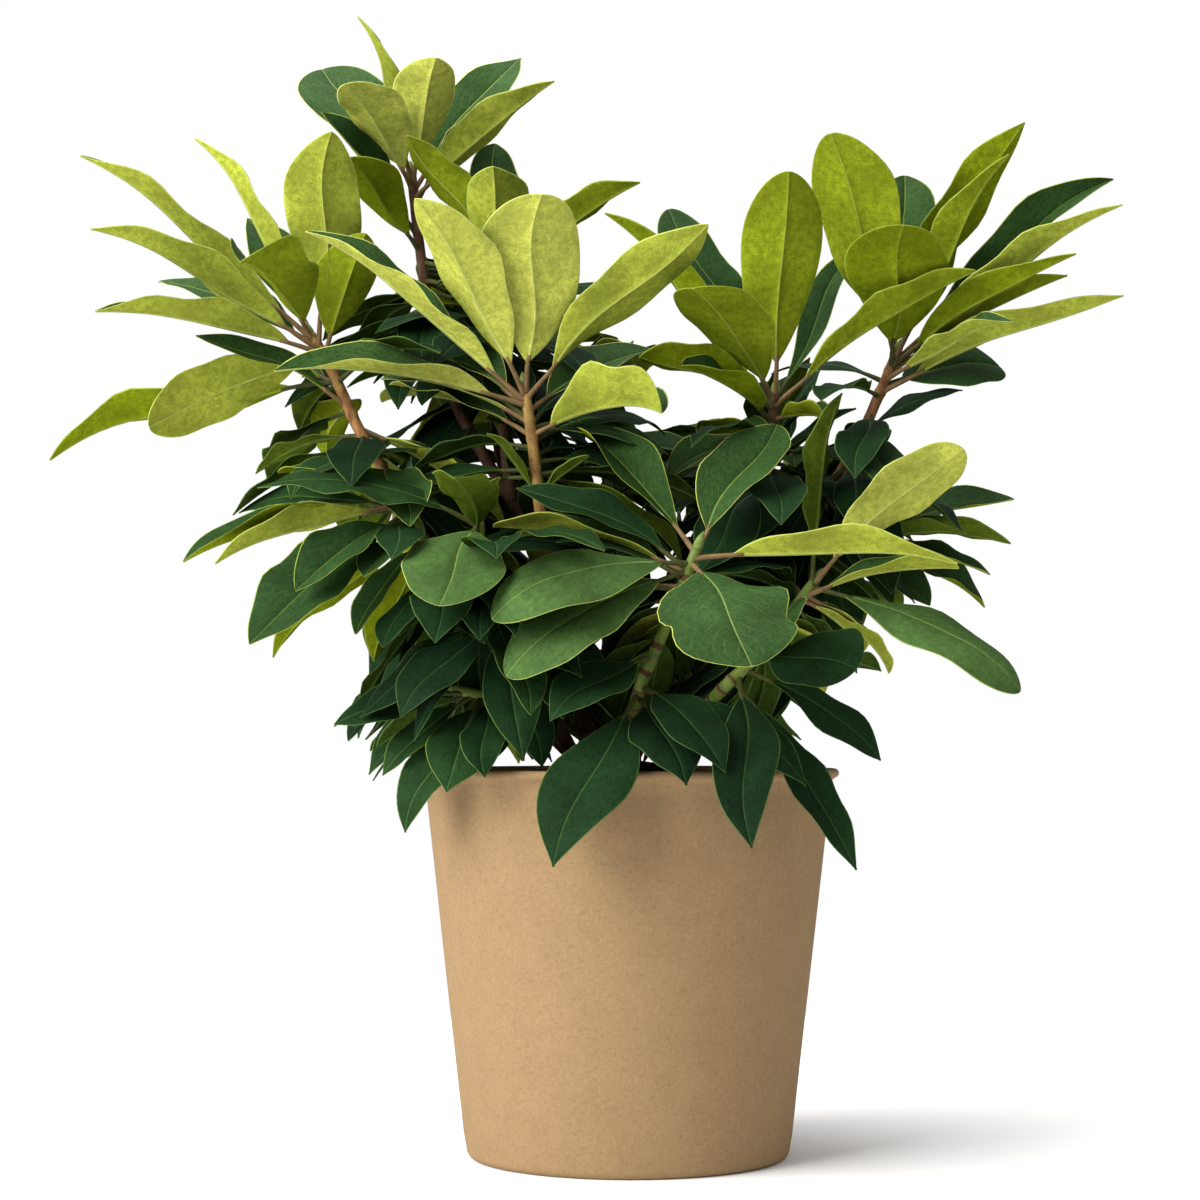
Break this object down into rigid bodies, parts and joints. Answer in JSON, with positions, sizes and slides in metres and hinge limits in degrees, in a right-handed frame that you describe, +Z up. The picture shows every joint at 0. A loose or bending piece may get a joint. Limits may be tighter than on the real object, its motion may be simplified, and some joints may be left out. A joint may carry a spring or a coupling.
{
  "type": "potted rhododendron",
  "caption": "Young evergreen rhododendron with whorls of lime and dark green leaves on short woody boughs, in a tapered fibre nursery pot.",
  "frame": {"origin": "middle of the pot's flat underside, on the pot's axis", "axes": "+Z up along the pot's axis, -Y towards the viewer of the plant's front, +X to the viewer's right"},
  "size_m": [0.6201, 0.4222, 0.6452],
  "materials": {
    "kraft_fibre": "matt pressed kraft fibre with fine flecks",
    "compost": "crumbly, moist, dark brown",
    "bark": "rough woody bark, orange-brown on young wood",
    "leaves": "leathery, satin above, matt lime green beneath"
  },
  "bodies": {
    "root": {"pot": "kraft_fibre", "soil": "compost", "trunk": "bark", "bough_upper_left": "bark", "bough_left": "bark", "bough_lower_left": "bark", "bough_centre": "bark", "bough_right_centre": "bark", "bough_right": "bark", "bough_front": "bark", "bough_lower_right": "bark", "bough_low_right": "bark", "bough_low_left": "bark", "bough_side_left": "bark", "bough_side_right": "bark", "bough_back_left": "bark", "bough_back_centre": "bark", "bough_back_right": "bark", "bough_back_low": "bark", "foliage_upper_left": "leaves", "foliage_left": "leaves", "foliage_lower_left": "leaves", "foliage_centre": "leaves", "foliage_right_centre": "leaves", "foliage_right": "leaves", "foliage_front": "leaves", "foliage_lower_right": "leaves", "foliage_low_right": "leaves", "foliage_low_left": "leaves", "foliage_side_left": "leaves", "foliage_side_right": "leaves", "foliage_back_left": "leaves", "foliage_back_centre": "leaves", "foliage_back_right": "leaves", "foliage_back_low": "leaves"}
  },
  "joints": []
}
